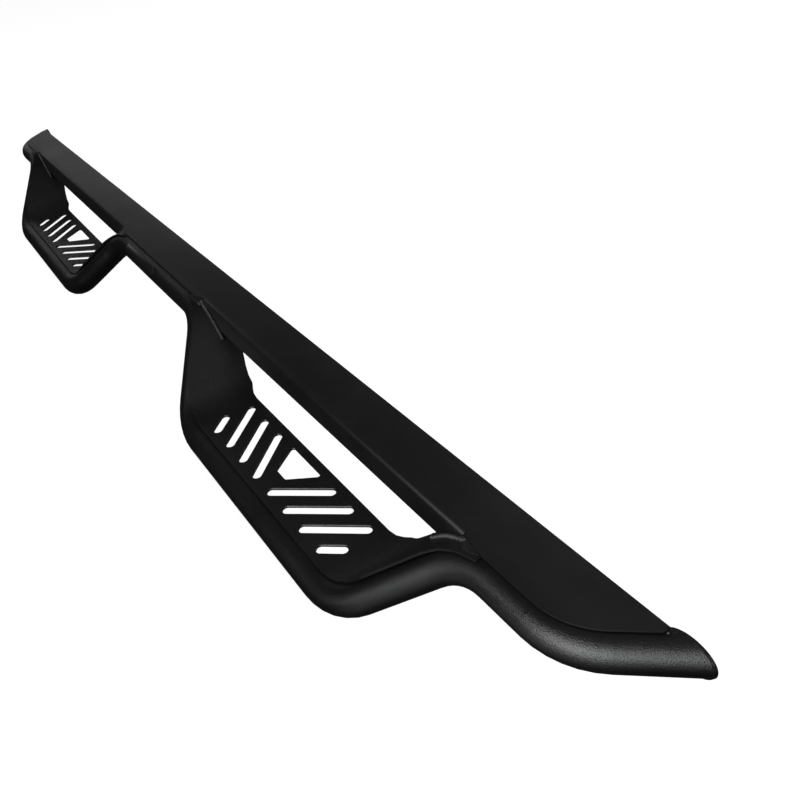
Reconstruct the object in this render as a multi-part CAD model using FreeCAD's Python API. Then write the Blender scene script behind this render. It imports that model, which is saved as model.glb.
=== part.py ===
import FreeCAD, Part
import math
import os

# Running board for a pickup truck: flat deck, bent outer tube and two drop steps.
# Millimetres. X runs along the board, the steps stand out towards -Y, Z is up.
# Every section below is written as (along, out, up): "out" is measured from the
# deck's inner edge towards the step side and "up" from the top of the deck.

# driving dimensions
tube_radius = 22.225
tube_wall = 3.05
sheet = 3.4

step_pitch_half = 578.2
end_corner = 1097.0
end_angle = math.radians(47.8)
end_bend = 94.4
end_cut_out = -8.6

crown_out = 74.5
tube_up = -(tube_radius + sheet)
hoop_out = 184.1
hoop_up = -144.5
hoop_bottom_half = 239.3
hoop_top_half = 368.3
hoop_top_bend = 93.0
hoop_bottom_bend = 99.0

deck_edge_out = 75.6
deck_tip = 1154.5
deck_tip_blunt = 9.8
flange_out = 71.0
flange_bend = 1.8
flange_depth = 41.0
flange_half = 360.0
joint_gap = 1.7
joint_gap_half = 398.0
deck_inset_plan = [(392.0, 75.6), (376.0, 73.0), (366.0, 70.6)]

rail_depth = 47.8
rail_end = 1150.0

step_inner_out = 76.4
step_wall_inner_out = 62.0
step_outer_out = 180.1
step_end_half = 398.0
wall_foot_out = 36.0
wall_foot_along = 366.0
# half plan of the formed step plate, from the foot to the deck and back outside
step_inner_plan = [(198.0, step_inner_out), (212.0, 75.0), (224.0, 70.6), (234.0, 65.6)]
step_wall_plan = [(246.0, 64.4), (262.0, 59.6), (275.0, 54.2), (300.0, 45.0), (328.0, wall_foot_out)]
step_end_plan = [(wall_foot_along, wall_foot_out), (wall_foot_along, step_wall_inner_out)]
step_shoulder_plan = [(step_end_half, 83.4), (394.0, 84.4), (383.0, 86.2), (364.0, 89.8), (346.0, 96.6)]
step_corner_plan = [(333.0, 106.4), (269.0, 159.4), (252.0, 169.0), (230.0, 176.0), (206.0, 179.4)]

slot_width = 12.8
slot_rounding = 2.6
slot_pitch = 47.2
slot_inner_along = 86.5
slot_outer_along = 19.4
slot_inner_out = 92.1
slot_outer_out = 166.0
slot_short_out = 134.5
slot_count = 4
window_plan = [(-44.5, 90.5), (44.5, 90.5), (13.0, 133.6), (-13.0, 133.6)]
window_rounding = 4.0

step_cut_low = -150.0
step_cut_height = 60.0

badge_length = 156.0
badge_along = -58.5
badge_half_width = 11.0
badge_thick = 2.4
badge_lean = math.radians(38.0)

bracket_width = 62.0
bracket_thick = 4.8
bracket_up = -44.0
bracket_out = 26.0
bolt_hole = 4.25
bolt_spacing = 36.0
end_bracket_along = 1033.0
bracket_reach = 70.0
nut_across = 17.0
nut_height = 8.0

flange_seam_radius = 3.6
flange_seam_along = (301.0, 312.0, 324.0, 336.0, 347.0, 357.0)
fill_inner_plan = [(360.0, 66.4), (367.0, 70.9), (376.0, 73.0), (386.0, 74.6), (395.0, 75.6)]
fill_outer_plan = [(358.0, 76.6), (366.0, 80.6), (375.0, 82.6), (385.0, 83.6), (396.0, 82.6)]
deck_seam_out = 63.4
deck_seam_up = -8.2
deck_seam_radius = 3.4
deck_seam_half = 110.0
end_seam = (1005.0, 1055.0)
stitch_along = (-130.0, 0.0, 130.0)
stitch_half = 28.0
stitch_radius = 3.2
rail_stitch_first = -960.0
rail_stitch_pitch = 240.0
rail_stitch_count = 9
rail_stitch_half = 25.0
rail_stitch_radius = 2.6
bracket_stitch_half = 24.0
bracket_stitch_radius = 2.4
tip_seam_plan = [(1143.0, 1.2, -4.6), (1149.0, 2.0, -4.8), (1155.0, 3.6, -4.2)]
tip_seam_radius = 3.0

# the origin is the middle of the bolt pair in the middle bracket, on its underside
out_zero = bracket_out
up_zero = -bracket_up


def point(along, out, up):
    return FreeCAD.Vector(along, out_zero - out, up_zero + up)


def direction(along, out, up):
    return FreeCAD.Vector(along, -out, up)


def arc_points(before, corner, after, radius, count):
    # points of the arc that rounds one corner of a bent path
    u = (before - corner).normalize()
    v = (after - corner).normalize()
    opening = u.getAngle(v)
    tangent = radius / math.tan(opening / 2.0)
    start = corner + u * tangent
    stop = corner + v * tangent
    middle = (u + v).normalize()
    centre = corner + middle * (radius / math.sin(opening / 2.0))
    sweep = math.pi - opening
    points = []
    for i in range(count + 1):
        w = i / float(count)
        a = math.sin((1.0 - w) * sweep) / math.sin(sweep)
        b = math.sin(w * sweep) / math.sin(sweep)
        points.append(centre + (start - centre) * a + (stop - centre) * b)
    return points


def bent_wire(corners, radii):
    edges = []
    last = corners[0]
    for i in range(1, len(corners) - 1):
        arc = arc_points(corners[i - 1], corners[i], corners[i + 1], radii[i - 1], 2)
        edges.append(Part.makeLine(last, arc[0]))
        edges.append(Part.Arc(arc[0], arc[1], arc[2]).toShape())
        last = arc[2]
    edges.append(Part.makeLine(last, corners[-1]))
    return Part.Wire(edges)


def tube_corners(reach):
    # centreline of the tube, from the rear end to the front end
    half = []
    for side in (-1.0, 1.0):
        centre = side * step_pitch_half
        half.append((centre - hoop_top_half, crown_out, tube_up))
        half.append((centre - hoop_bottom_half, hoop_out, hoop_up))
        half.append((centre + hoop_bottom_half, hoop_out, hoop_up))
        half.append((centre + hoop_top_half, crown_out, tube_up))
    along = end_corner + reach * math.cos(end_angle)
    out = crown_out - reach * math.sin(end_angle)
    full = [(-along, out, tube_up), (-end_corner, crown_out, tube_up)]
    full = full + half
    full = full + [(end_corner, crown_out, tube_up), (along, out, tube_up)]
    return [point(*p) for p in full]


def sweep_round(wire, radius):
    start = wire.Edges[0].Vertexes[0].Point
    heading = wire.Edges[0].tangentAt(wire.Edges[0].FirstParameter)
    ring = Part.Wire([Part.makeCircle(radius, start, heading)])
    return wire.makePipeShell([ring], True, False)


def tube_wire():
    low = hoop_bottom_bend
    top = hoop_top_bend
    radii = [end_bend, top, low, low, top, top, low, low, top, end_bend]
    return bent_wire(tube_corners(170.0), radii)


def end_room(depth):
    # the space beyond the cut ends, where no tube is left
    room = Part.makeBox(3000.0, 400.0, 400.0)
    corner = point(-1500.0, depth, -250.0)
    room.translate(corner)
    return room


def outer_tube():
    wire = tube_wire()
    body = sweep_round(wire, tube_radius)
    bore = sweep_round(wire, tube_radius - tube_wall)
    body = body.cut(end_room(end_cut_out + sheet))
    bore = bore.cut(end_room(end_cut_out + sheet))
    return body, body.cut(bore)


def end_cap(side):
    reach = (crown_out - end_cut_out) / math.tan(end_angle)
    along = side * (end_corner + reach)
    centre = point(along, end_cut_out, tube_up)
    flat = direction(0.0, 1.0, 0.0)
    lead = sheet / 2.0 / math.tan(end_angle)
    inner = point(along - side * lead, end_cut_out + sheet, tube_up)
    wide = tube_radius / math.sin(end_angle)
    outline = Part.Ellipse(centre, wide, tube_radius).toShape()
    spin = FreeCAD.Vector(1, 0, 0)
    outline.rotate(centre, spin, 90.0)
    face = Part.Face(Part.Wire([outline]))
    disc = face.extrude(inner - point(along, end_cut_out, tube_up))
    disc = disc.makeChamfer(0.8, [e for e in disc.Edges if near_plane(e, centre.y)])
    dish = Part.makeCone(13.0, 10.6, 1.5, centre, flat)
    well = Part.makeCone(6.0, 4.4, 2.6, centre, flat)
    return disc.cut(dish).cut(well)


def near_plane(edge, level):
    box = edge.BoundBox
    return abs(box.YMin - level) < 0.01 and abs(box.YMax - level) < 0.01


def profile_points(height):
    # the step plate lies on the crown of the tube: its section is the tube's
    # centreline seen along Y, moved out by the height above the centreline
    corners = []
    corners.append(FreeCAD.Vector(-700.0, -crown_out, tube_up))
    corners.append(FreeCAD.Vector(-hoop_top_half, -crown_out, tube_up))
    corners.append(FreeCAD.Vector(-hoop_bottom_half, -hoop_out, hoop_up))
    corners.append(FreeCAD.Vector(0.0, -hoop_out, hoop_up))
    upper = arc_points(corners[0], corners[1], corners[2], hoop_top_bend, 24)
    lower = arc_points(corners[1], corners[2], corners[3], hoop_bottom_bend, 24)
    runs = []
    for arc in (upper, lower):
        moved = []
        for i in range(len(arc)):
            a = arc[max(i - 1, 0)]
            b = arc[min(i + 1, len(arc) - 1)]
            if i == 0 and arc is upper:
                a = corners[0]
            if i == 0 and arc is lower:
                a = upper[-1]
            if i == len(arc) - 1 and arc is upper:
                b = lower[0]
            if i == len(arc) - 1 and arc is lower:
                b = corners[3]
            if i == 0 or i == len(arc) - 1:
                straight = (arc[i] - a) if i == 0 else (b - arc[i])
                heading = FreeCAD.Vector(straight.x, 0, straight.z).normalize()
            else:
                heading = FreeCAD.Vector(b.x - a.x, 0, b.z - a.z).normalize()
            normal = FreeCAD.Vector(-heading.z, 0, heading.x)
            base = FreeCAD.Vector(arc[i].x, 0, arc[i].z)
            moved.append((base + normal * height, heading))
        runs.append(moved)
    return runs


def spline(points):
    curve = Part.BSplineCurve()
    first = points[0][1]
    last = points[-1][1]
    places = [p[0] for p in points]
    curve.interpolate(Points=places, InitialTangent=first, FinalTangent=last)
    return curve.toShape()


def mirrored(points):
    flipped = []
    for place, heading in reversed(points):
        spot = FreeCAD.Vector(-place.x, 0, place.z)
        flipped.append((spot, FreeCAD.Vector(heading.x, 0, -heading.z)))
    return flipped


def ribbon_edges(height):
    upper, lower = profile_points(height)
    edges = [spline(upper)]
    edges.append(Part.makeLine(upper[-1][0], lower[0][0]))
    edges.append(spline(lower))
    right_lower = mirrored(lower)
    right_upper = mirrored(upper)
    edges.append(Part.makeLine(lower[-1][0], right_lower[0][0]))
    edges.append(spline(right_lower))
    edges.append(Part.makeLine(right_lower[-1][0], right_upper[0][0]))
    edges.append(spline(right_upper))
    return edges, upper[0][0], right_upper[-1][0]


def ribbon(centre):
    # the formed strip before it is trimmed to its outline
    under, under_left, under_right = ribbon_edges(tube_radius)
    over, over_left, over_right = ribbon_edges(tube_radius + sheet)
    ends = [Part.makeLine(over_left, under_left)]
    ends.append(Part.makeLine(under_right, over_right))
    wire = Part.Wire(Part.__sortEdges__(under + over + ends))
    wire.translate(point(centre, 230.0, 0.0))
    return Part.Face(wire).extrude(direction(0.0, -210.0, 0.0))


def above_ribbon(centre):
    # the space over the formed strip, used to trim what ends on it
    over, left, right = ribbon_edges(tube_radius + sheet)
    high_left = FreeCAD.Vector(left.x, 0, 40.0)
    high_right = FreeCAD.Vector(right.x, 0, 40.0)
    lid = [Part.makeLine(left, high_left), Part.makeLine(high_left, high_right)]
    lid.append(Part.makeLine(high_right, right))
    wire = Part.Wire(Part.__sortEdges__(over + lid))
    wire.translate(point(centre, 230.0, 0.0))
    return Part.Face(wire).extrude(direction(0.0, -240.0, 0.0))


def plan_face(places, up):
    corners = [point(p[0], p[1], up) for p in places]
    corners.append(corners[0])
    return Part.Face(Part.makePolygon(corners))


def step_outline(centre):
    inner = step_inner_plan + step_wall_plan + step_end_plan
    inner = inner + [(step_end_half, step_wall_inner_out)]
    outer = step_shoulder_plan + step_corner_plan + [(186.0, step_outer_out)]
    right = inner + outer
    left = [(-a, o) for a, o in reversed(right)]
    whole = right + left
    return plan_face([(centre + a, o) for a, o in whole], -170.0)


def slot(centre, a, b):
    # one round-ended slot between two end points
    length = math.hypot(b[0] - a[0], b[1] - a[1])
    across = ((a[1] - b[1]) / length, (b[0] - a[0]) / length)
    half = slot_width / 2.0
    low = step_cut_low
    p1 = point(centre + a[0] + across[0] * half, a[1] + across[1] * half, low)
    p2 = point(centre + b[0] + across[0] * half, b[1] + across[1] * half, low)
    p3 = point(centre + b[0] - across[0] * half, b[1] - across[1] * half, low)
    p4 = point(centre + a[0] - across[0] * half, a[1] - across[1] * half, low)
    along = ((b[0] - a[0]) / length * half, (b[1] - a[1]) / length * half)
    tip_b = point(centre + b[0] + along[0], b[1] + along[1], low)
    tip_a = point(centre + a[0] - along[0], a[1] - along[1], low)
    edges = [Part.makeLine(p1, p2), Part.Arc(p2, tip_b, p3).toShape()]
    edges.append(Part.makeLine(p3, p4))
    edges.append(Part.Arc(p4, tip_a, p1).toShape())
    return Part.Face(Part.Wire(edges)).extrude(direction(0.0, 0.0, step_cut_height))


def window(centre):
    # the four-sided opening between the two fans of slots
    face = plan_face([(centre + a, o) for a, o in window_plan], step_cut_low)
    body = face.extrude(direction(0.0, 0.0, step_cut_height))
    uprights = []
    for edge in body.Edges:
        box = edge.BoundBox
        if box.ZLength > step_cut_height / 2.0:
            uprights.append(edge)
    return body.makeFillet(window_rounding, uprights)


def slot_cutters(centre):
    cutters = [window(centre)]
    run = (slot_inner_along - slot_outer_along) / (slot_outer_out - slot_inner_out)
    trim = slot_width / 2.0 - 1.5
    for k in range(slot_count):
        inner_out = slot_inner_out + trim
        if k == slot_count - 1:
            inner_out = slot_short_out + trim
        outer_out = slot_outer_out - trim
        base = slot_outer_along + k * slot_pitch
        outer_along = base + run * (slot_outer_out - outer_out)
        inner_along = base + run * (slot_outer_out - inner_out)
        for side in (-1.0, 1.0):
            a = (side * outer_along, outer_out)
            b = (side * inner_along, inner_out)
            cutters.append(slot(centre, a, b))
    return cutters


def step_plate(centre, deck, tube):
    plate = ribbon(centre)
    plate = plate.common(step_outline(centre).extrude(direction(0.0, 0.0, 260.0)))
    for cutter in slot_cutters(centre):
        plate = plate.cut(cutter)
    plate = rounded_openings(biggest(plate), centre)
    plate = plate.cut(deck).cut(tube)
    return biggest(plate)


def rounded_openings(plate, centre):
    # the slots and the window have rounded upper edges
    top = up_zero + hoop_up + tube_radius + sheet
    rims = []
    for edge in plate.Edges:
        box = edge.BoundBox
        level = abs(box.ZMin - top) < 0.01 and abs(box.ZMax - top) < 0.01
        inside = box.YMax < out_zero - 82.0 and box.YMin > out_zero - 174.0
        short = box.XLength < 110.0 and abs(box.Center.x - centre) < 199.0
        if level and inside and short:
            rims.append(edge)
    return plate.makeFillet(slot_rounding, rims)


def biggest(shape):
    solids = sorted(shape.Solids, key=lambda s: s.Volume)
    return solids[-1]


def end_outline(side):
    # the deck's edge follows the crown of the tube round the end bend
    inset = 2.0
    c = math.cos(end_angle)
    s = math.sin(end_angle)
    base_along = end_corner - inset * s
    base_out = crown_out - inset * c
    back = (deck_edge_out - base_out) / s
    corner_along = base_along - back * c
    before = FreeCAD.Vector(900.0, deck_edge_out, 0)
    corner = FreeCAD.Vector(corner_along, deck_edge_out, 0)
    after = FreeCAD.Vector(corner_along + 100.0 * c, deck_edge_out - 100.0 * s, 0)
    arc = arc_points(before, corner, after, end_bend, 12)
    places = [(p.x, p.y) for p in arc]
    last = (deck_edge_out - deck_tip_blunt) / s
    places.append((corner_along + last * c, deck_tip_blunt))
    places.append((deck_tip, 0.0))
    return [(side * a, o) for a, o in places]


def deck_plate(tube):
    front = end_outline(1.0)
    rear = list(reversed(end_outline(-1.0)))
    edge = []
    for centre in (step_pitch_half, -step_pitch_half):
        for side in (-1.0, 1.0):
            for along, out in deck_inset_plan:
                edge.append((centre + side * along, out))
            edge.append((centre + side * flange_half, flange_out - flange_bend - sheet))
    outline = rear + sorted(edge, key=lambda p: p[0]) + front
    face = plan_face(outline, -sheet)
    body = face.extrude(direction(0.0, 0.0, sheet))
    for centre in (step_pitch_half, -step_pitch_half):
        body = body.fuse(outer_flange(centre))
    inner_stop = step_pitch_half - joint_gap_half
    outer_start = step_pitch_half + joint_gap_half
    runs = [((-inner_stop, deck_edge_out), (inner_stop, deck_edge_out))]
    for side, places in ((1.0, front), (-1.0, list(reversed(rear)))):
        runs.append(((side * outer_start, deck_edge_out), places[0]))
        for i in range(len(places) - 2):
            runs.append((places[i], places[i + 1]))
    for start, stop in runs:
        body = body.cut(shadow_gap(start, stop))
    body = body.removeSplitter()
    return biggest(body.cut(tube))


def shadow_gap(start, stop):
    # the deck's edge is relieved underneath, which leaves a dark line on the tube
    length = math.hypot(stop[0] - start[0], stop[1] - start[1])
    ahead = ((stop[0] - start[0]) / length, (stop[1] - start[1]) / length)
    away = (-ahead[1], ahead[0])
    if away[1] < 0.0:
        away = (ahead[1], -ahead[0])
    low = -sheet - 0.2
    corners = []
    for reach, up in ((-joint_gap, low), (joint_gap, low), (joint_gap, low + 2.0 * joint_gap)):
        corners.append(point(start[0] + away[0] * reach, start[1] + away[1] * reach, up))
    corners.append(corners[0])
    face = Part.Face(Part.makePolygon(corners))
    return face.extrude(direction(stop[0] - start[0], stop[1] - start[1], 0.0))


def outer_flange(centre):
    # the deck's outer edge is folded down over each drop step
    outer = flange_bend + sheet
    flat = flange_out - outer
    mid = math.sqrt(0.5)
    a = point(centre, flat, 0.0)
    b = point(centre, flat + outer * mid, -outer + outer * mid)
    d = point(centre, flange_out, -outer)
    e = point(centre, flange_out, -flange_depth)
    f = point(centre, flange_out - sheet, -flange_depth)
    g = point(centre, flange_out - sheet, -outer)
    h = point(centre, flat + flange_bend * mid, -outer + flange_bend * mid)
    i = point(centre, flat, -sheet)
    edges = [Part.Arc(a, b, d).toShape(), Part.makeLine(d, e)]
    edges.append(Part.makeLine(e, f))
    edges.append(Part.makeLine(f, g))
    edges.append(Part.Arc(g, h, i).toShape())
    edges.append(Part.makeLine(i, a))
    face = Part.Face(Part.Wire(edges))
    face.translate(FreeCAD.Vector(-flange_half, 0, 0))
    body = face.extrude(FreeCAD.Vector(2.0 * flange_half, 0, 0))
    return body.common(above_ribbon(centre))


def inner_rail(solid_tube):
    body = Part.makeBox(2.0 * rail_end, sheet, rail_depth - sheet)
    body.translate(point(-rail_end, sheet, -rail_depth))
    return biggest(body.cut(solid_tube))


def badge_plate(tube):
    # blank nameplate, curved to the tube
    shell = Part.makeCylinder(
        tube_radius + badge_thick,
        badge_length,
        point(badge_along - badge_length / 2.0, crown_out, tube_up),
        FreeCAD.Vector(1, 0, 0),
    )
    core = Part.makeCylinder(
        tube_radius,
        badge_length + 20.0,
        point(badge_along - badge_length / 2.0 - 10.0, crown_out, tube_up),
        FreeCAD.Vector(1, 0, 0),
    )
    half = badge_half_width
    run = badge_length / 2.0 - half
    o = FreeCAD.Vector(0, 0, 0)
    left = FreeCAD.Vector(-run, 0, 0)
    right = FreeCAD.Vector(run, 0, 0)
    y = FreeCAD.Vector(0, half, 0)
    x = FreeCAD.Vector(half, 0, 0)
    edges = [Part.makeLine(left + y, right + y)]
    edges.append(Part.Arc(right + y, right + x, right - y).toShape())
    edges.append(Part.makeLine(right - y, left - y))
    edges.append(Part.Arc(left - y, left - x, left + y).toShape())
    stamp = Part.Face(Part.Wire(edges)).extrude(FreeCAD.Vector(0, 0, 60.0))
    stamp.rotate(o, FreeCAD.Vector(1, 0, 0), 90.0 - math.degrees(badge_lean))
    stamp.translate(point(badge_along, crown_out, tube_up))
    return biggest(shell.cut(core).common(stamp).cut(tube))


def mount_bracket(along, tube, rail):
    body = Part.makeBox(bracket_width, bracket_reach, bracket_thick)
    body.translate(point(along - bracket_width / 2.0, sheet + bracket_reach, bracket_up))
    for side in (-0.5, 0.5):
        place = point(along + side * bolt_spacing, bracket_out, bracket_up - 1.0)
        body = body.cut(Part.makeCylinder(bolt_hole, 10.0, place))
    return biggest(body.cut(tube).cut(rail))


def hex_nut(along, out):
    base = bracket_up + bracket_thick
    across = nut_across / math.sqrt(3.0)
    corners = []
    for i in range(6):
        turn = math.radians(60.0 * i)
        a = along + across * math.cos(turn)
        corners.append(point(a, out + across * math.sin(turn), base))
    corners.append(corners[0])
    body = Part.Face(Part.makePolygon(corners)).extrude(direction(0, 0, nut_height))
    bore = Part.makeCylinder(bolt_hole, nut_height + 2.0, point(along, out, base - 1.0))
    return body.cut(bore)


def weld_nuts():
    nuts = []
    for along in (-end_bracket_along, 0.0, end_bracket_along):
        for side in (-0.5, 0.5):
            nuts.append(hex_nut(along + side * bolt_spacing, bracket_out))
    return Part.makeCompound(nuts)


def bead(places, radius):
    points = [point(*p) for p in places]
    if len(points) == 2:
        wire = Part.Wire([Part.makeLine(points[0], points[1])])
    else:
        curve = Part.BSplineCurve()
        curve.interpolate(points)
        wire = Part.Wire([curve.toShape()])
    body = sweep_round(wire, radius)
    body = body.fuse(Part.makeSphere(radius, points[0]))
    body = body.fuse(Part.makeSphere(radius, points[-1]))
    return body


def trimmed(body, others):
    for other in others:
        body = body.cut(other)
    return biggest(body)


def wall_up(along):
    # height of the step plate's upper face at a distance from the step's middle
    upper, lower = profile_points(tube_radius + sheet)
    places = [(-p[0].x, p[0].z) for p in upper + lower]
    places.sort()
    if along <= places[0][0]:
        return places[0][1]
    for i in range(len(places) - 1):
        if places[i][0] <= along <= places[i + 1][0]:
            w = (along - places[i][0]) / (places[i + 1][0] - places[i][0])
            return places[i][1] * (1.0 - w) + places[i + 1][1] * w
    return places[-1][1]


def corner_weld(centre, side, others):
    # bead up the foot of the flange, then the ground fill at the deck's corner
    places = []
    for along in flange_seam_along:
        places.append((centre + side * along, flange_out + 1.8, wall_up(along) + 1.6))
    places.append((centre + side * 365.0, flange_out + 0.6, -4.2))
    seam = bead(places, flange_seam_radius)
    return trimmed(seam.fuse(corner_fill(centre, side)), others)


def corner_fill(centre, side):
    high = [point(centre + side * a, o, -0.1) for a, o in fill_inner_plan]
    low = [point(centre + side * a, o, wall_up(a) + 0.1) for a, o in fill_outer_plan]
    body = None
    for k in range(len(high) - 1):
        for corners in ((high[k], high[k + 1], low[k]), (high[k + 1], low[k + 1], low[k])):
            ring = list(corners) + [corners[0]]
            prism = Part.Face(Part.makePolygon(ring)).extrude(direction(0.0, 0.0, -12.0))
            body = prism if body is None else body.fuse(prism)
    return body


def deck_tube_weld(start, stop, others):
    places = [(start, deck_seam_out, deck_seam_up), (stop, deck_seam_out, deck_seam_up)]
    return trimmed(bead(places, deck_seam_radius), others)


def step_tube_welds(centre, others):
    stitches = []
    for along in stitch_along:
        out = hoop_out - tube_radius / 2.0
        up = hoop_up + tube_radius - 4.6
        start = (centre + along - stitch_half, out, up)
        stop = (centre + along + stitch_half, out, up)
        stitches.append(trimmed(bead([start, stop], stitch_radius), others))
    return Part.makeCompound(stitches)


def deck_rail_welds(others):
    stitches = []
    inset = sheet + 1.2
    for i in range(rail_stitch_count):
        along = rail_stitch_first + rail_stitch_pitch * i
        start = (along - rail_stitch_half, inset, -inset)
        stop = (along + rail_stitch_half, inset, -inset)
        stitches.append(trimmed(bead([start, stop], rail_stitch_radius), others))
    return Part.makeCompound(stitches)


def bracket_welds(others):
    stitches = []
    for along in (-end_bracket_along, 0.0, end_bracket_along):
        start = (along - bracket_stitch_half, sheet + 1.0, bracket_up - 1.0)
        stop = (along + bracket_stitch_half, sheet + 1.0, bracket_up - 1.0)
        stitches.append(trimmed(bead([start, stop], bracket_stitch_radius), others))
    return Part.makeCompound(stitches)


def tip_weld(side, others):
    places = [(side * a, o, u) for a, o, u in tip_seam_plan]
    return trimmed(bead(places, tip_seam_radius), others)


def save(shape, node):
    shape.exportStep("parts/" + node + ".step")


def main():
    os.makedirs("parts", exist_ok=True)
    solid_tube, tube = outer_tube()
    save(tube, "outer_tube")
    deck = deck_plate(solid_tube)
    save(deck, "deck_plate")
    front_cap = end_cap(1.0)
    rear_cap = end_cap(-1.0)
    save(front_cap, "front_end_cap")
    save(rear_cap, "rear_end_cap")
    rail = inner_rail(solid_tube.fuse(front_cap).fuse(rear_cap))
    save(rail, "inner_rail")
    fixed = [solid_tube, deck, rail, front_cap, rear_cap]
    for name, side in (("front", 1.0), ("rear", -1.0)):
        centre = side * step_pitch_half
        plate = step_plate(centre, deck, solid_tube)
        save(plate, name + "_step_plate")
        near = [solid_tube, deck, plate]
        save(step_tube_welds(centre, near), name + "_step_tube_welds")
        for end, turn in (("fore", 1.0), ("aft", -1.0)):
            weld = corner_weld(centre, turn, near)
            save(weld, name + "_step_" + end + "_weld")
        save(tip_weld(side, fixed), name + "_tip_weld")
    save(badge_plate(solid_tube), "badge_plate")
    spots = (("front", end_bracket_along), ("middle", 0.0), ("rear", -end_bracket_along))
    brackets = []
    for name, along in spots:
        bracket = mount_bracket(along, solid_tube, rail)
        brackets.append(bracket)
        save(bracket, name + "_mount_bracket")
    save(weld_nuts(), "weld_nuts")
    save(deck_rail_welds([deck, rail]), "deck_rail_welds")
    save(bracket_welds([rail] + brackets), "bracket_welds")
    inside = [deck, solid_tube]
    low, high = end_seam
    save(deck_tube_weld(-deck_seam_half, deck_seam_half, inside), "middle_deck_tube_weld")
    save(deck_tube_weld(low, high, inside), "front_deck_tube_weld")
    save(deck_tube_weld(-high, -low, inside), "rear_deck_tube_weld")


main()
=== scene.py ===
import bpy
import math
from mathutils import Matrix, Vector
from mathutils.bvhtree import BVHTree


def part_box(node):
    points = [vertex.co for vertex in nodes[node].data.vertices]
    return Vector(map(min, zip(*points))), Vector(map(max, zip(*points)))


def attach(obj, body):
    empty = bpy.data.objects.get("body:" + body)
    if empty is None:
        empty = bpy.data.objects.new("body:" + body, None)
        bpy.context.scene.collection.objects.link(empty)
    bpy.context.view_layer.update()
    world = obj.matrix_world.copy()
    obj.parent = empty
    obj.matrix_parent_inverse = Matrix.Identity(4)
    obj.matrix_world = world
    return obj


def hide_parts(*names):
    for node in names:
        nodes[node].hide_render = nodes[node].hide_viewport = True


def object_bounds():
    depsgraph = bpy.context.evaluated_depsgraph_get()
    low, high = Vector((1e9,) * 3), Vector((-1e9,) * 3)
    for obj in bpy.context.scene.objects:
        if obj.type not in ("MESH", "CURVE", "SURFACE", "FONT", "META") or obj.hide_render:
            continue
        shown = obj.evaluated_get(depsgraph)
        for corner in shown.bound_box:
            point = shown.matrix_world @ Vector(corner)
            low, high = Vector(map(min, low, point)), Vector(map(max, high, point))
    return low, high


# Running board: flat deck, bent outer tube and two slotted drop steps under a black
# powder coat, with zinc plated nuts. Metres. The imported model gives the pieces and
# their places. Where the weld ripples lie along the board is set here.

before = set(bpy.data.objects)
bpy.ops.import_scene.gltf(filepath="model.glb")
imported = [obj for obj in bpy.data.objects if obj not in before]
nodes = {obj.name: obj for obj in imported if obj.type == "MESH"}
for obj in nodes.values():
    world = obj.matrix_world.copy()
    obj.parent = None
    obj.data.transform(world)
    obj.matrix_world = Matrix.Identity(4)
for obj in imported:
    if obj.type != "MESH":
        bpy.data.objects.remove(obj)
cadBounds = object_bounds()
lowest = Vector(cadBounds[0])
floorGap = 0.0004
print("frame loaded:", len(nodes), "nodes")


# node helpers
def addNode(tree, kind, place=(0, 0), **values):
    node = tree.nodes.new(kind)
    node.location = place
    for name, value in values.items():
        setattr(node, name, value)
    return node


def setValues(node, **values):
    for name, value in values.items():
        node.inputs[name.replace("_", " ")].default_value = value


def newGroup(name, inputs, outputs):
    group = bpy.data.node_groups.new(name, "ShaderNodeTree")
    for label, kind, value in inputs:
        socket = group.interface.new_socket(name=label, in_out="INPUT", socket_type=kind)
        if value is not None:
            socket.default_value = value
    for label, kind in outputs:
        group.interface.new_socket(name=label, in_out="OUTPUT", socket_type=kind)
    start = addNode(group, "NodeGroupInput", (-900, 0))
    stop = addNode(group, "NodeGroupOutput", (700, 0))
    return group, start, stop


def mathNode(tree, operation, first, second, place=(0, 0)):
    node = addNode(tree, "ShaderNodeMath", place, operation=operation)
    for i, value in enumerate((first, second)):
        if isinstance(value, (int, float)):
            node.inputs[i].default_value = value
        else:
            tree.links.new(value, node.inputs[i])
    return node.outputs[0]


def remap(tree, source, low, high, newLow, newHigh, place=(0, 0)):
    node = addNode(tree, "ShaderNodeMapRange", place)
    tree.links.new(source, node.inputs["Value"])
    node.inputs["From Min"].default_value = low
    node.inputs["From Max"].default_value = high
    node.inputs["To Min"].default_value = newLow
    node.inputs["To Max"].default_value = newHigh
    return node.outputs["Result"]


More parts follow.
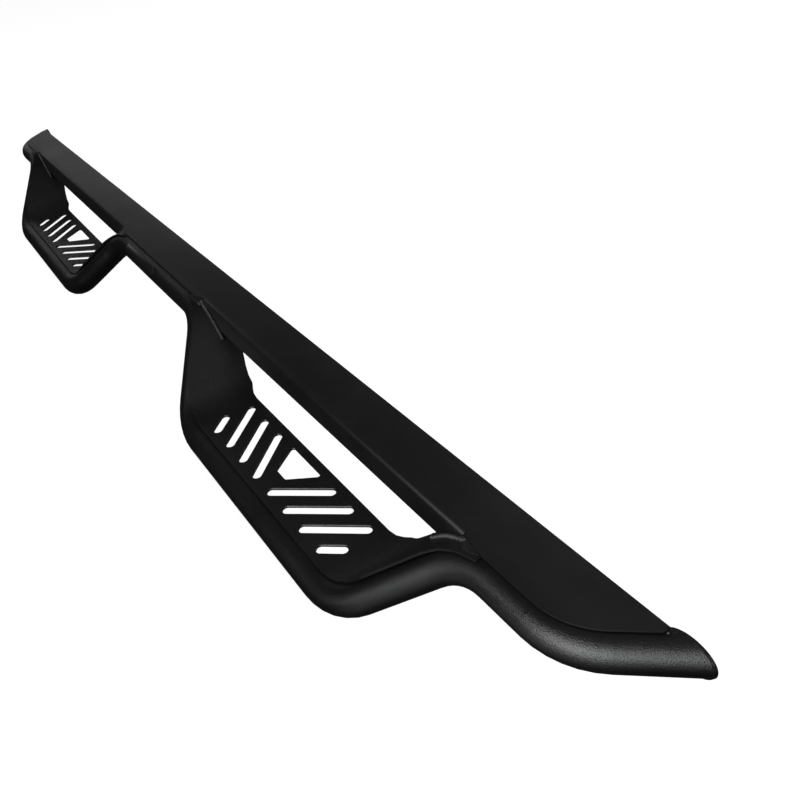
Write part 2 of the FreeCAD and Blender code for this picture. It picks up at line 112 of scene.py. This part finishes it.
# fine pebbled skin of a cured powder coat, in two sizes of grain
def makeGrainGroup():
    speckFrom, speckFull = 0.55, 0.75
    group, start, stop = newGroup(
        "powderGrain",
        [
            ("Vector", "NodeSocketVector", None),
            ("Fine Scale", "NodeSocketFloat", 900.0),
            ("Coarse Scale", "NodeSocketFloat", 330.0),
            ("Coarse Share", "NodeSocketFloat", 0.4),
        ],
        [("Height", "NodeSocketFloat"), ("Speck", "NodeSocketFloat")],
    )
    fine = addNode(group, "ShaderNodeTexNoise", (-600, 160), noise_dimensions="3D")
    coarse = addNode(group, "ShaderNodeTexNoise", (-600, -120), noise_dimensions="3D")
    setValues(fine, Detail=2.0, Roughness=0.55)
    setValues(coarse, Detail=3.0, Roughness=0.6)
    for texture, size in ((fine, "Fine Scale"), (coarse, "Coarse Scale")):
        group.links.new(start.outputs["Vector"], texture.inputs["Vector"])
        group.links.new(start.outputs[size], texture.inputs["Scale"])
    share = start.outputs["Coarse Share"]
    wide = mathNode(group, "MULTIPLY", coarse.outputs["Fac"], share, (-300, -120))
    rest = mathNode(group, "SUBTRACT", 1.0, share, (-300, 40))
    small = mathNode(group, "MULTIPLY", fine.outputs["Fac"], rest, (-100, 160))
    height = mathNode(group, "ADD", small, wide, (100, 60))
    group.links.new(height, stop.inputs["Height"])
    speck = remap(group, fine.outputs["Fac"], speckFrom, speckFull, 0.0, 1.0, (100, 260))
    group.links.new(speck, stop.inputs["Speck"])
    return group


# slow changes over the whole part: handling haze and uneven cure
def makeHazeGroup():
    hazeFrom, hazeFull = 0.35, 0.7
    group, start, stop = newGroup(
        "handlingHaze",
        [("Vector", "NodeSocketVector", None), ("Scale", "NodeSocketFloat", 7.0)],
        [("Haze", "NodeSocketFloat")],
    )
    cloud = addNode(group, "ShaderNodeTexNoise", (-600, 160), noise_dimensions="3D")
    setValues(cloud, Detail=5.0, Roughness=0.62)
    group.links.new(start.outputs["Vector"], cloud.inputs["Vector"])
    group.links.new(start.outputs["Scale"], cloud.inputs["Scale"])
    haze = remap(group, cloud.outputs["Fac"], hazeFrom, hazeFull, 0.0, 1.0, (-200, 160))
    group.links.new(haze, stop.inputs["Haze"])
    return group


# where the coat pulls thin over a sharp edge
def makeEdgeGroup():
    flat, sharp = 0.99, 0.86
    group, start, stop = newGroup(
        "thinEdge",
        [("Radius", "NodeSocketFloat", 0.0012), ("Amount", "NodeSocketFloat", 1.0)],
        [("Edge", "NodeSocketFloat")],
    )
    bevel = addNode(group, "ShaderNodeBevel", (-600, 160), samples=4)
    group.links.new(start.outputs["Radius"], bevel.inputs["Radius"])
    shape = addNode(group, "ShaderNodeNewGeometry", (-600, -60))
    dot = addNode(group, "ShaderNodeVectorMath", (-350, 60), operation="DOT_PRODUCT")
    group.links.new(bevel.outputs["Normal"], dot.inputs[0])
    group.links.new(shape.outputs["Normal"], dot.inputs[1])
    mask = remap(group, dot.outputs["Value"], flat, sharp, 0.0, 1.0, (-120, 60))
    scaled = mathNode(group, "MULTIPLY", mask, start.outputs["Amount"], (120, 60))
    group.links.new(scaled, stop.inputs["Edge"])
    return group


groups = {
    "grain": makeGrainGroup(),
    "haze": makeHazeGroup(),
    "edge": makeEdgeGroup(),
}
print("shared effects built:", len(groups))


def coatMaterial(name, finish):
    material = bpy.data.materials.new(name)
    material.use_nodes = True
    tree = material.node_tree
    tree.nodes.clear()
    output = addNode(tree, "ShaderNodeOutputMaterial", (900, 0))
    shader = addNode(tree, "ShaderNodeBsdfPrincipled", (600, 0))
    tree.links.new(shader.outputs["BSDF"], output.inputs["Surface"])
    coords = addNode(tree, "ShaderNodeTexCoord", (-1100, 0))
    place = coords.outputs["Object"]

    grain = addNode(tree, "ShaderNodeGroup", (-800, 200), node_tree=groups["grain"])
    haze = addNode(tree, "ShaderNodeGroup", (-800, -50), node_tree=groups["haze"])
    edge = addNode(tree, "ShaderNodeGroup", (-800, -300), node_tree=groups["edge"])
    tree.links.new(place, grain.inputs["Vector"])
    tree.links.new(place, haze.inputs["Vector"])
    setValues(grain, Fine_Scale=finish["fine"], Coarse_Scale=finish["coarse"])
    setValues(grain, Coarse_Share=finish["coarseShare"])
    setValues(haze, Scale=finish["hazeScale"])
    setValues(edge, Radius=finish["edgeRadius"], Amount=finish["edgeAmount"])

    tint = addNode(tree, "ShaderNodeMix", (-450, 150), data_type="RGBA")
    tint.inputs["A"].default_value = finish["colour"] + (1.0,)
    tint.inputs["B"].default_value = finish["hazeColour"] + (1.0,)
    tree.links.new(haze.outputs["Haze"], tint.inputs["Factor"])
    speckled = addNode(tree, "ShaderNodeMix", (-200, 150), data_type="RGBA")
    tree.links.new(tint.outputs["Result"], speckled.inputs["A"])
    speckled.inputs["B"].default_value = finish["speckColour"] + (1.0,)
    tree.links.new(grain.outputs["Speck"], speckled.inputs["Factor"])
    worn = addNode(tree, "ShaderNodeMix", (50, 150), data_type="RGBA")
    tree.links.new(speckled.outputs["Result"], worn.inputs["A"])
    worn.inputs["B"].default_value = finish["edgeColour"] + (1.0,)
    tree.links.new(edge.outputs["Edge"], worn.inputs["Factor"])
    tree.links.new(worn.outputs["Result"], shader.inputs["Base Color"])

    low, high = finish["roughLow"], finish["roughHigh"]
    dull = remap(tree, haze.outputs["Haze"], 0.0, 1.0, low, high, (-200, -60))
    tree.links.new(dull, shader.inputs["Roughness"])

    bump = addNode(tree, "ShaderNodeBump", (250, -250))
    bump.inputs["Strength"].default_value = finish["bump"]
    bump.inputs["Distance"].default_value = finish["bumpDepth"]
    tree.links.new(grain.outputs["Height"], bump.inputs["Height"])
    tree.links.new(bump.outputs["Normal"], shader.inputs["Normal"])
    shader.inputs["Specular IOR Level"].default_value = finish["specular"]
    shader.inputs["Metallic"].default_value = finish.get("metallic", 0.0)
    return material


textured = {
    "colour": (0.014, 0.014, 0.015),
    "hazeColour": (0.019, 0.019, 0.0195),
    "speckColour": (0.03, 0.03, 0.031),
    "edgeColour": (0.05, 0.05, 0.051),
    "fine": 1050.0,
    "coarse": 600.0,
    "coarseShare": 0.5,
    "hazeScale": 9.0,
    "edgeRadius": 0.001,
    "edgeAmount": 0.5,
    "roughLow": 0.33,
    "roughHigh": 0.39,
    "bump": 0.75,
    "bumpDepth": 0.00095,
    "specular": 0.5,
}
tread = dict(textured)
tread.update({
    "colour": (0.017, 0.017, 0.0165),
    "hazeColour": (0.024, 0.024, 0.023),
    "roughLow": 0.46,
    "roughHigh": 0.52,
    "bump": 0.25,
    "bumpDepth": 0.0004,
    "specular": 0.42,
})
weld = dict(textured)
weld.update({
    "fine": 1500.0,
    "bump": 0.35,
    "roughLow": 0.4,
    "roughHigh": 0.48,
    "edgeAmount": 0.0,
})
plateBlank = dict(textured)
plateBlank.update({
    "colour": (0.035, 0.035, 0.035),
    "hazeColour": (0.05, 0.05, 0.05),
    "edgeColour": (0.42, 0.42, 0.42),
    "edgeRadius": 0.0014,
    "edgeAmount": 1.0,
    "roughLow": 0.3,
    "roughHigh": 0.36,
    "bump": 0.2,
})
zinc = dict(textured)
zinc.update({
    "colour": (0.56, 0.55, 0.5),
    "hazeColour": (0.5, 0.5, 0.44),
    "speckColour": (0.62, 0.62, 0.58),
    "edgeColour": (0.7, 0.7, 0.68),
    "roughLow": 0.3,
    "roughHigh": 0.45,
    "bump": 0.12,
    "bumpDepth": 0.0002,
    "metallic": 1.0,
})
materials = {
    "textured_coat": coatMaterial("texturedBlackCoat", textured),
    "deck_coat": coatMaterial("flatterDeckCoat", tread),
    "coated_weld": coatMaterial("coatedWeld", weld),
    "badge": coatMaterial("blankNameplate", plateBlank),
    "plated_steel": coatMaterial("zincPlate", zinc),
}
print("materials built:", len(materials))


# which finish goes where
def slotOf(nodeName):
    if nodeName == "deck_plate":
        return "deck_coat"
    if "weld_nuts" in nodeName:
        return "plated_steel"
    if "weld" in nodeName:
        return "coated_weld"
    if nodeName == "badge_plate":
        return "badge"
    return "textured_coat"


for nodeName, node in nodes.items():
    for place in range(len(node.data.materials)):
        node.data.materials[place] = materials[slotOf(nodeName)]
print("finishes assigned")


def selectOnly(piece):
    bpy.ops.object.select_all(action="DESELECT")
    piece.select_set(True)
    bpy.context.view_layer.objects.active = piece


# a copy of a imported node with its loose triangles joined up
def joinedCopy(nodeName, newName):
    mergeDistance = 0.00002
    source = nodes[nodeName]
    piece = source.copy()
    piece.data = source.data.copy()
    piece.name = newName
    bpy.context.collection.objects.link(piece)
    selectOnly(piece)
    bpy.ops.object.mode_set(mode="EDIT")
    bpy.ops.mesh.select_all(action="SELECT")
    bpy.ops.mesh.remove_doubles(threshold=mergeDistance)
    bpy.ops.object.mode_set(mode="OBJECT")
    return piece


def standsFor(piece, nodeName):
    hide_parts(nodeName)
    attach(piece, "root")


# a sheet piece with its flat faces made whole and its edges eased
def easedCopy(nodeName, easing):
    flatAngle = 0.4
    smoothAngle = 32.0
    piece = joinedCopy(nodeName, easing["name"])
    bpy.ops.object.mode_set(mode="EDIT")
    bpy.ops.mesh.select_all(action="SELECT")
    bpy.ops.mesh.dissolve_limited(angle_limit=math.radians(flatAngle))
    bpy.ops.object.mode_set(mode="OBJECT")
    bpy.ops.object.modifier_add(type="BEVEL")
    bevel = piece.modifiers[-1]
    bevel.width = easing["width"]
    bevel.segments = 2
    bevel.limit_method = "ANGLE"
    bevel.angle_limit = math.radians(easing["angle"])
    bevel.harden_normals = False
    bpy.ops.object.modifier_apply(modifier=bevel.name)
    bpy.ops.object.shade_smooth_by_angle(angle=math.radians(smoothAngle))
    standsFor(piece, nodeName)


# bevel widths, and the smallest angle in degrees that counts as an edge
easedPieces = {
    "deck_plate": {"name": "deckPlate", "width": 0.00025, "angle": 40.0},
    "inner_rail": {"name": "innerRail", "width": 0.0006, "angle": 40.0},
    "front_mount_bracket": {"name": "frontMountBracket", "width": 0.0007, "angle": 40.0},
    "middle_mount_bracket": {"name": "middleMountBracket", "width": 0.0007, "angle": 40.0},
    "rear_mount_bracket": {"name": "rearMountBracket", "width": 0.0007, "angle": 40.0},
    "badge_plate": {"name": "blankNameplate", "width": 0.0005, "angle": 30.0},
}
for nodeName, easing in easedPieces.items():
    easedCopy(nodeName, easing)
print("sheet edges eased:", len(easedPieces))


# weld beads: one frozen ripple of metal, laid again and again along each seam
def makeRipple():
    ripple = {
        "segments": 10,
        "rings": 7,
        "flatten": 0.4,
        "tailFrom": -0.05,
        "drawnOut": 1.3,
        "tailPinch": 0.94,
        "crest": 1.06,
    }
    bpy.ops.object.select_all(action="DESELECT")
    bpy.ops.mesh.primitive_uv_sphere_add(
        segments=ripple["segments"],
        ring_count=ripple["rings"],
        radius=1.0,
        rotation=(0, math.radians(90), 0),
    )
    master = bpy.context.active_object
    master.name = "weldRipple"
    bpy.ops.object.transform_apply(location=True, rotation=True, scale=True)
    bpy.ops.object.mode_set(mode="EDIT")
    bpy.ops.mesh.select_all(action="SELECT")
    bpy.ops.transform.resize(value=(ripple["flatten"], 1.0, 1.0))
    bpy.ops.mesh.select_all(action="DESELECT")
    bpy.ops.object.mode_set(mode="OBJECT")
    for vertex in master.data.vertices:
        vertex.select = vertex.co.x < ripple["tailFrom"]
    bpy.ops.object.mode_set(mode="EDIT")
    bpy.ops.mesh.select_mode(type="VERT")
    tail = (ripple["drawnOut"], ripple["tailPinch"], ripple["tailPinch"])
    bpy.ops.transform.resize(value=tail, center_override=(0.0, 0.0, 0.0))
    bpy.ops.mesh.select_all(action="SELECT")
    bpy.ops.transform.resize(value=(1.0, ripple["crest"], ripple["crest"]))
    bpy.ops.object.mode_set(mode="OBJECT")
    return master


# evenly spaced places along a seam, with its direction at each
def alongRoute(route, spacing):
    spots = []
    carried = 0.0
    for start, stop in zip(route[:-1], route[1:]):
        start = Vector(start)
        stop = Vector(stop)
        run = (stop - start).length
        heading = (stop - start).normalized()
        while carried <= run:
            spots.append((start + heading * carried, heading))
            carried += spacing
        carried -= run
    return spots


def rippledBead(master, name, routes, bead):
    unevenness = 0.05
    wander = 2.3
    copies = []
    for route in routes:
        for i, (spot, heading) in enumerate(alongRoute(route, bead["spacing"])):
            copy = master.copy()
            copy.data = master.data.copy()
            bpy.context.collection.objects.link(copy)
            size = bead["radius"] * (1.0 + unevenness * math.sin(wander * i))
            turn = heading.to_track_quat("X", "Z").to_matrix().to_4x4()
            copy.matrix_world = Matrix.Translation(spot) @ turn @ Matrix.Scale(size, 4)
            copies.append(copy)
    bpy.ops.object.select_all(action="DESELECT")
    for copy in copies:
        copy.select_set(True)
    bpy.context.view_layer.objects.active = copies[0]
    bpy.ops.object.join()
    piece = bpy.context.active_object
    piece.name = name
    bpy.ops.object.transform_apply(location=True, rotation=True, scale=True)
    bpy.ops.object.shade_smooth()
    piece.data.materials.clear()
    piece.data.materials.append(materials["coated_weld"])
    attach(piece, "root")


# the seam that climbs each step's wall to the deck's corner: how far from the step's
# middle, and where across the board. It rides a little above the wall, and its last
# place is the corner itself.
cornerSeam = {
    "stepMiddle": 0.5782,
    "radius": 0.0046,
    "spacing": 0.0034,
    "lift": 0.0017,
    "climb": [
        (0.301, -0.0470),
        (0.312, -0.0470),
        (0.324, -0.0470),
        (0.336, -0.0469),
        (0.347, -0.0468),
        (0.357, -0.0464),
    ],
    "corner": (0.365, -0.0456, 0.0394),
}
# short stitches under the board: where they are along it, half length, out and up
stepStitch = {"along": (-0.130, 0.0, 0.130), "half": 0.027, "radius": 0.0034, "spacing": 0.0022}
railStitch = {
    "first": -0.960,
    "pitch": 0.240,
    "count": 9,
    "half": 0.024,
    "place": (0.0214, 0.0394),
    "radius": 0.0029,
    "spacing": 0.0022,
}
bracketStitch = {
    "along": (-1.033, 0.0, 1.033),
    "half": 0.023,
    "place": (0.0216, -0.001),
    "radius": 0.0027,
    "spacing": 0.0021,
}


# a weld remade as one smooth skin: a corner's bead with its ground fill, or a tip's bead
def flowedWeld(nodeName, flow):
    piece = joinedCopy(nodeName, flow["name"])
    bpy.ops.object.modifier_add(type="REMESH")
    remesh = piece.modifiers[-1]
    remesh.mode = "VOXEL"
    remesh.voxel_size = flow["voxel"]
    bpy.ops.object.modifier_apply(modifier=remesh.name)
    bpy.ops.object.modifier_add(type="SMOOTH")
    smooth = piece.modifiers[-1]
    smooth.factor = 0.5
    smooth.iterations = flow["passes"]
    bpy.ops.object.modifier_apply(modifier=smooth.name)
    bpy.ops.object.shade_smooth()
    standsFor(piece, nodeName)


flowedWelds = {
    "front_step_fore_weld": {"name": "frontStepForeWeld", "voxel": 0.0007, "passes": 5},
    "front_step_aft_weld": {"name": "frontStepAftWeld", "voxel": 0.0007, "passes": 5},
    "rear_step_fore_weld": {"name": "rearStepForeWeld", "voxel": 0.0007, "passes": 5},
    "rear_step_aft_weld": {"name": "rearStepAftWeld", "voxel": 0.0007, "passes": 5},
    "front_tip_weld": {"name": "frontTipWeld", "voxel": 0.0005, "passes": 16},
    "rear_tip_weld": {"name": "rearTipWeld", "voxel": 0.0005, "passes": 16},
}
for nodeName, flow in flowedWelds.items():
    flowedWeld(nodeName, flow)
print("corner and tip welds flowed:", len(flowedWelds))


# the places of a corner's seam, with their heights taken from the step's wall
def cornerRoute(stepName, middle, turnSide):
    down = Vector((0.0, 0.0, -1.0))
    aboveDeck = 0.1
    graph = bpy.context.evaluated_depsgraph_get()
    wall = BVHTree.FromObject(nodes[stepName + "_step_plate"], graph)
    route = []
    for along, across in cornerSeam["climb"]:
        start = Vector((middle + turnSide * along, across, aboveDeck))
        spot = wall.ray_cast(start, down)[0]
        route.append(spot - down * cornerSeam["lift"])
    along, across, up = cornerSeam["corner"]
    route.append((middle + turnSide * along, across, up))
    return route


def stitch(along, half, place):
    return [(along - half, *place), (along + half, *place)]


def layRipples():
    ripple = makeRipple()
    for stepName, stepSide in (("front", 1.0), ("rear", -1.0)):
        middle = stepSide * cornerSeam["stepMiddle"]
        for endName, turnSide in (("Fore", 1.0), ("Aft", -1.0)):
            route = cornerRoute(stepName, middle, turnSide)
            rippledBead(ripple, stepName + "Step" + endName + "Ripples", [route], cornerSeam)
        low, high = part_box(stepName + "_step_tube_welds")
        place = ((low[1] + high[1]) / 2.0, (low[2] + high[2]) / 2.0)
        half = stepStitch["half"]
        routes = [stitch(middle + along, half, place) for along in stepStitch["along"]]
        rippledBead(ripple, stepName + "StepStitchRipples", routes, stepStitch)
    starts = [railStitch["first"] + railStitch["pitch"] * i for i in range(railStitch["count"])]
    routes = [stitch(along, railStitch["half"], railStitch["place"]) for along in starts]
    rippledBead(ripple, "deckRailRipples", routes, railStitch)
    spots = bracketStitch["along"]
    routes = [stitch(along, bracketStitch["half"], bracketStitch["place"]) for along in spots]
    rippledBead(ripple, "bracketRipples", routes, bracketStitch)
    bpy.data.objects.remove(ripple, do_unlink=True)


layRipples()
print("weld ripples laid")


# the floor glows for the camera and gives the board neither reflections nor diffuse light
def paleFloor():
    settings = {
        "size": 24.0,
        "colour": (0.4, 0.4, 0.4, 1.0),
        "rough": 0.8,
        "glow": (1.0, 1.0, 1.0, 1.0),
        "glowStrength": 0.95,
    }
    bpy.ops.object.select_all(action="DESELECT")
    place = (0, 0, lowest.z - floorGap)
    bpy.ops.mesh.primitive_plane_add(size=settings["size"], location=place)
    floor = bpy.context.active_object
    floor.name = "paleFloor"
    material = bpy.data.materials.new("palePaper")
    material.use_nodes = True
    shader = material.node_tree.nodes["Principled BSDF"]
    shader.inputs["Base Color"].default_value = settings["colour"]
    shader.inputs["Roughness"].default_value = settings["rough"]
    shader.inputs["Specular IOR Level"].default_value = 0.0
    shader.inputs["Emission Color"].default_value = settings["glow"]
    shader.inputs["Emission Strength"].default_value = settings["glowStrength"]
    floor.data.materials.append(material)
    floor.visible_glossy = False
    floor.visible_diffuse = False


# a light is seen in the coat's gloss or gives diffuse light, never both
def areaLight(name, settings):
    place = Vector(settings["place"])
    bpy.ops.object.light_add(type="AREA", location=place)
    light = bpy.context.active_object
    light.name = name
    light.data.shape = "RECTANGLE"
    light.data.size = settings["size"][0]
    light.data.size_y = settings["size"][1]
    light.data.energy = settings["power"]
    light.data.color = settings.get("colour", (1.0, 1.0, 1.0))
    aim = Vector(settings["aim"]) - place
    light.rotation_euler = aim.to_track_quat("-Z", "Y").to_euler()
    light.visible_glossy = settings.get("glossy", True)
    light.visible_diffuse = not light.visible_glossy
    light.visible_camera = False


paleFloor()
areaLight("sideSoftbox", {
    "place": (1.7, -2.0, 1.05),
    "aim": (0.95, -0.1, 0.0),
    "size": (2.6, 1.7),
    "power": 106.0,
    "colour": (0.98, 0.99, 1.0),
})
areaLight("cornerSoftbox", {
    "place": (2.5, -1.15, 0.65),
    "aim": (1.05, -0.1, 0.0),
    "size": (1.2, 0.9),
    "power": 12.0,
    "colour": (0.98, 0.99, 1.0),
})
areaLight("topSoftbox", {
    "place": (1.2, 0.55, 2.6),
    "aim": (0.3, 0.0, 0.0),
    "size": (1.4, 1.4),
    "power": 3.6,
})
areaLight("farEndGlow", {
    "place": (-4.3, 0.35, 0.95),
    "aim": (-0.8, 0.0, 0.0),
    "size": (2.4, 1.5),
    "power": 5.6,
})
areaLight("floorBounce", {
    "place": (1.5, -0.85, lowest.z - floorGap / 2.0),
    "aim": (1.5, -0.85, 4.0),
    "size": (1.3, 1.3),
    "power": 2.4,
})
areaLight("backSoftbox", {
    "place": (0.0, 2.4, 0.4),
    "aim": (0.0, 0.0, 0.0),
    "size": (3.4, 1.2),
    "power": 75.0,
    "glossy": False,
})
areaLight("roomFill", {
    "place": (0.0, 0.0, 4.0),
    "aim": (0.0, 0.0, 0.0),
    "size": (7.0, 7.0),
    "power": 48.0,
    "glossy": False,
})


# the room looks white, and is dim in the coat's reflections
def softStudio():
    settings = {"backdrop": 1.0, "reflected": 0.018}
    world = bpy.data.worlds.new("softStudio")
    bpy.context.scene.world = world
    world.use_nodes = True
    tree = world.node_tree
    dim = tree.nodes["Background"]
    dim.inputs["Color"].default_value = (1.0, 1.0, 1.0, 1.0)
    dim.inputs["Strength"].default_value = settings["reflected"]
    white = addNode(tree, "ShaderNodeBackground", (0, -200))
    white.inputs["Color"].default_value = (1.0, 1.0, 1.0, 1.0)
    white.inputs["Strength"].default_value = settings["backdrop"]
    path = addNode(tree, "ShaderNodeLightPath", (-200, 200))
    blend = addNode(tree, "ShaderNodeMixShader", (250, 0))
    tree.links.new(path.outputs["Is Camera Ray"], blend.inputs["Fac"])
    tree.links.new(dim.outputs["Background"], blend.inputs[1])
    tree.links.new(white.outputs["Background"], blend.inputs[2])
    tree.links.new(blend.outputs["Shader"], tree.nodes["World Output"].inputs["Surface"])


softStudio()
bpy.context.scene.view_settings.view_transform = "Standard"
print("floor and lights placed")


# low over the front end, looking back along the board
def boardCamera():
    settings = {
        "place": (1.4399, -0.3702, 0.6654),
        "right": (0.55807, 0.81985, -0.12810),
        "up": (-0.43354, 0.41971, 0.79743),
        "lens": 36.0,
        "sensor": 36.0,
        "near": 0.02,
        "far": 60.0,
    }
    bpy.ops.object.camera_add(location=settings["place"])
    camera = bpy.context.active_object
    camera.name = "boardCamera"
    right = Vector(settings["right"]).normalized()
    up = Vector(settings["up"]).normalized()
    back = right.cross(up)
    turn = Matrix((right, up, back)).transposed()
    camera.rotation_euler = turn.to_euler()
    camera.data.lens = settings["lens"]
    camera.data.sensor_width = settings["sensor"]
    camera.data.clip_start = settings["near"]
    camera.data.clip_end = settings["far"]
    bpy.context.scene.camera = camera


boardCamera()
print("camera placed")
